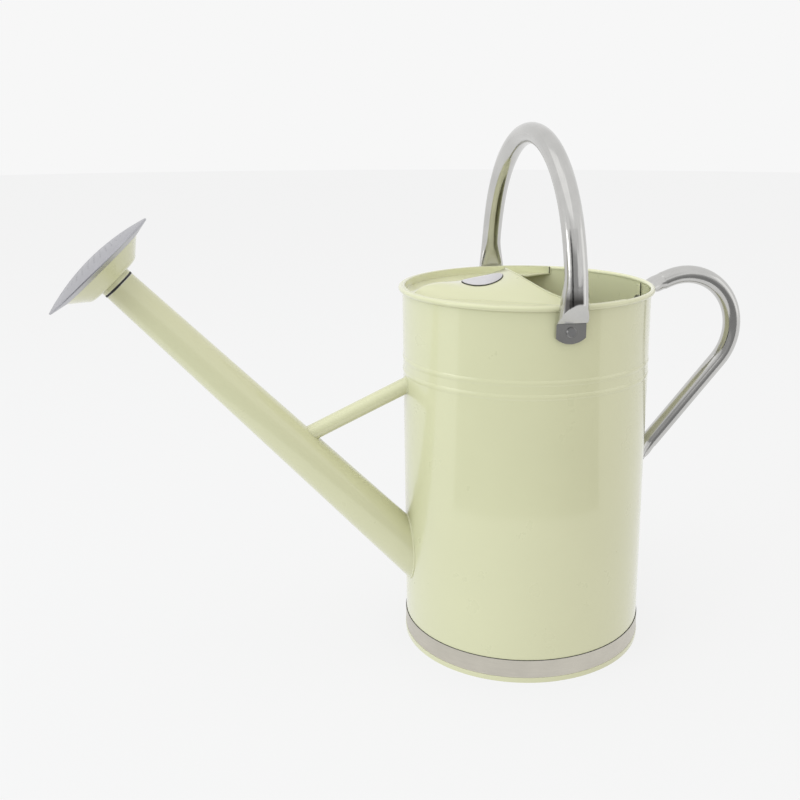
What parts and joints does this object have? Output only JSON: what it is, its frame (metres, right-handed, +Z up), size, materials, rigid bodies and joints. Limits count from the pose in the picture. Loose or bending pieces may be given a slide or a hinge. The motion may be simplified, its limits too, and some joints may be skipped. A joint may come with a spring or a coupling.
{
  "type": "watering can",
  "caption": "Tall round metal watering can with a long braced spout, removable rose, half hood, swinging top bail and fixed rear tube handle.",
  "frame": {"origin": "centre of the base ring, on the surface that the can stands on", "axes": "+Z up, -X towards the spout and rose, +X towards the rear handle, Y along the bail's pivots"},
  "size_m": [0.5551, 0.2394, 0.4269],
  "materials": {
    "cream_paint": "gloss cream powder coat",
    "cream_paint_base": "gloss cream powder coat",
    "cream_paint_hood": "gloss cream powder coat",
    "cream_paint_spout": "gloss cream powder coat",
    "cream_paint_brace": "gloss cream powder coat",
    "cream_paint_collar": "gloss cream powder coat",
    "cream_paint_rose": "gloss cream powder coat",
    "wire_steel": "plain wire",
    "band_steel": "satin stainless strip",
    "badge_plate": "blank satin plate",
    "spigot_steel": "plain",
    "seal_rubber": "matt black",
    "rose_steel": "satin grey, perforated",
    "handle_steel": "polished stainless tube",
    "rear_handle_steel": "polished stainless tube",
    "rivet_steel": "satin"
  },
  "bodies": {
    "can": {"body_shell": "cream_paint", "rim_wire": "wire_steel", "base_pan": "cream_paint_base", "base_band": "band_steel", "hood": "cream_paint_hood", "hood_badge": "badge_plate", "spout_tube": "cream_paint_spout", "spout_spigot": "spigot_steel", "spout_brace": "cream_paint_brace", "bail_rivets": "rivet_steel", "bail_washers": "rivet_steel", "rear_handle": "rear_handle_steel", "rear_handle_rivets": "rivet_steel", "rear_handle_washers": "rivet_steel"},
    "bail": {"bail_tube": "handle_steel"},
    "seal": {"rose_seal": "seal_rubber"},
    "rose": {"rose_collar": "cream_paint_collar", "rose_bowl": "cream_paint_rose", "rose_face": "rose_steel"}
  },
  "joints": [
    {"name": "bail_swing", "type": "hinge", "parent": "can", "child": "bail", "pos_m": [0.0011, 0, 0.2813], "axis": [0, 1, 0], "range_deg": [-105, 68]},
    {"name": "rose_twist", "type": "hinge", "parent": "can", "child": "seal", "pos_m": [-0.3117, 0, 0.3112], "axis": [-0.6795, 0, 0.7337], "continuous": true},
    {"name": "rose_pull", "type": "slide", "parent": "seal", "child": "rose", "axis": [-0.6795, 0, 0.7337], "range_m": [0, 0.03]}
  ]
}
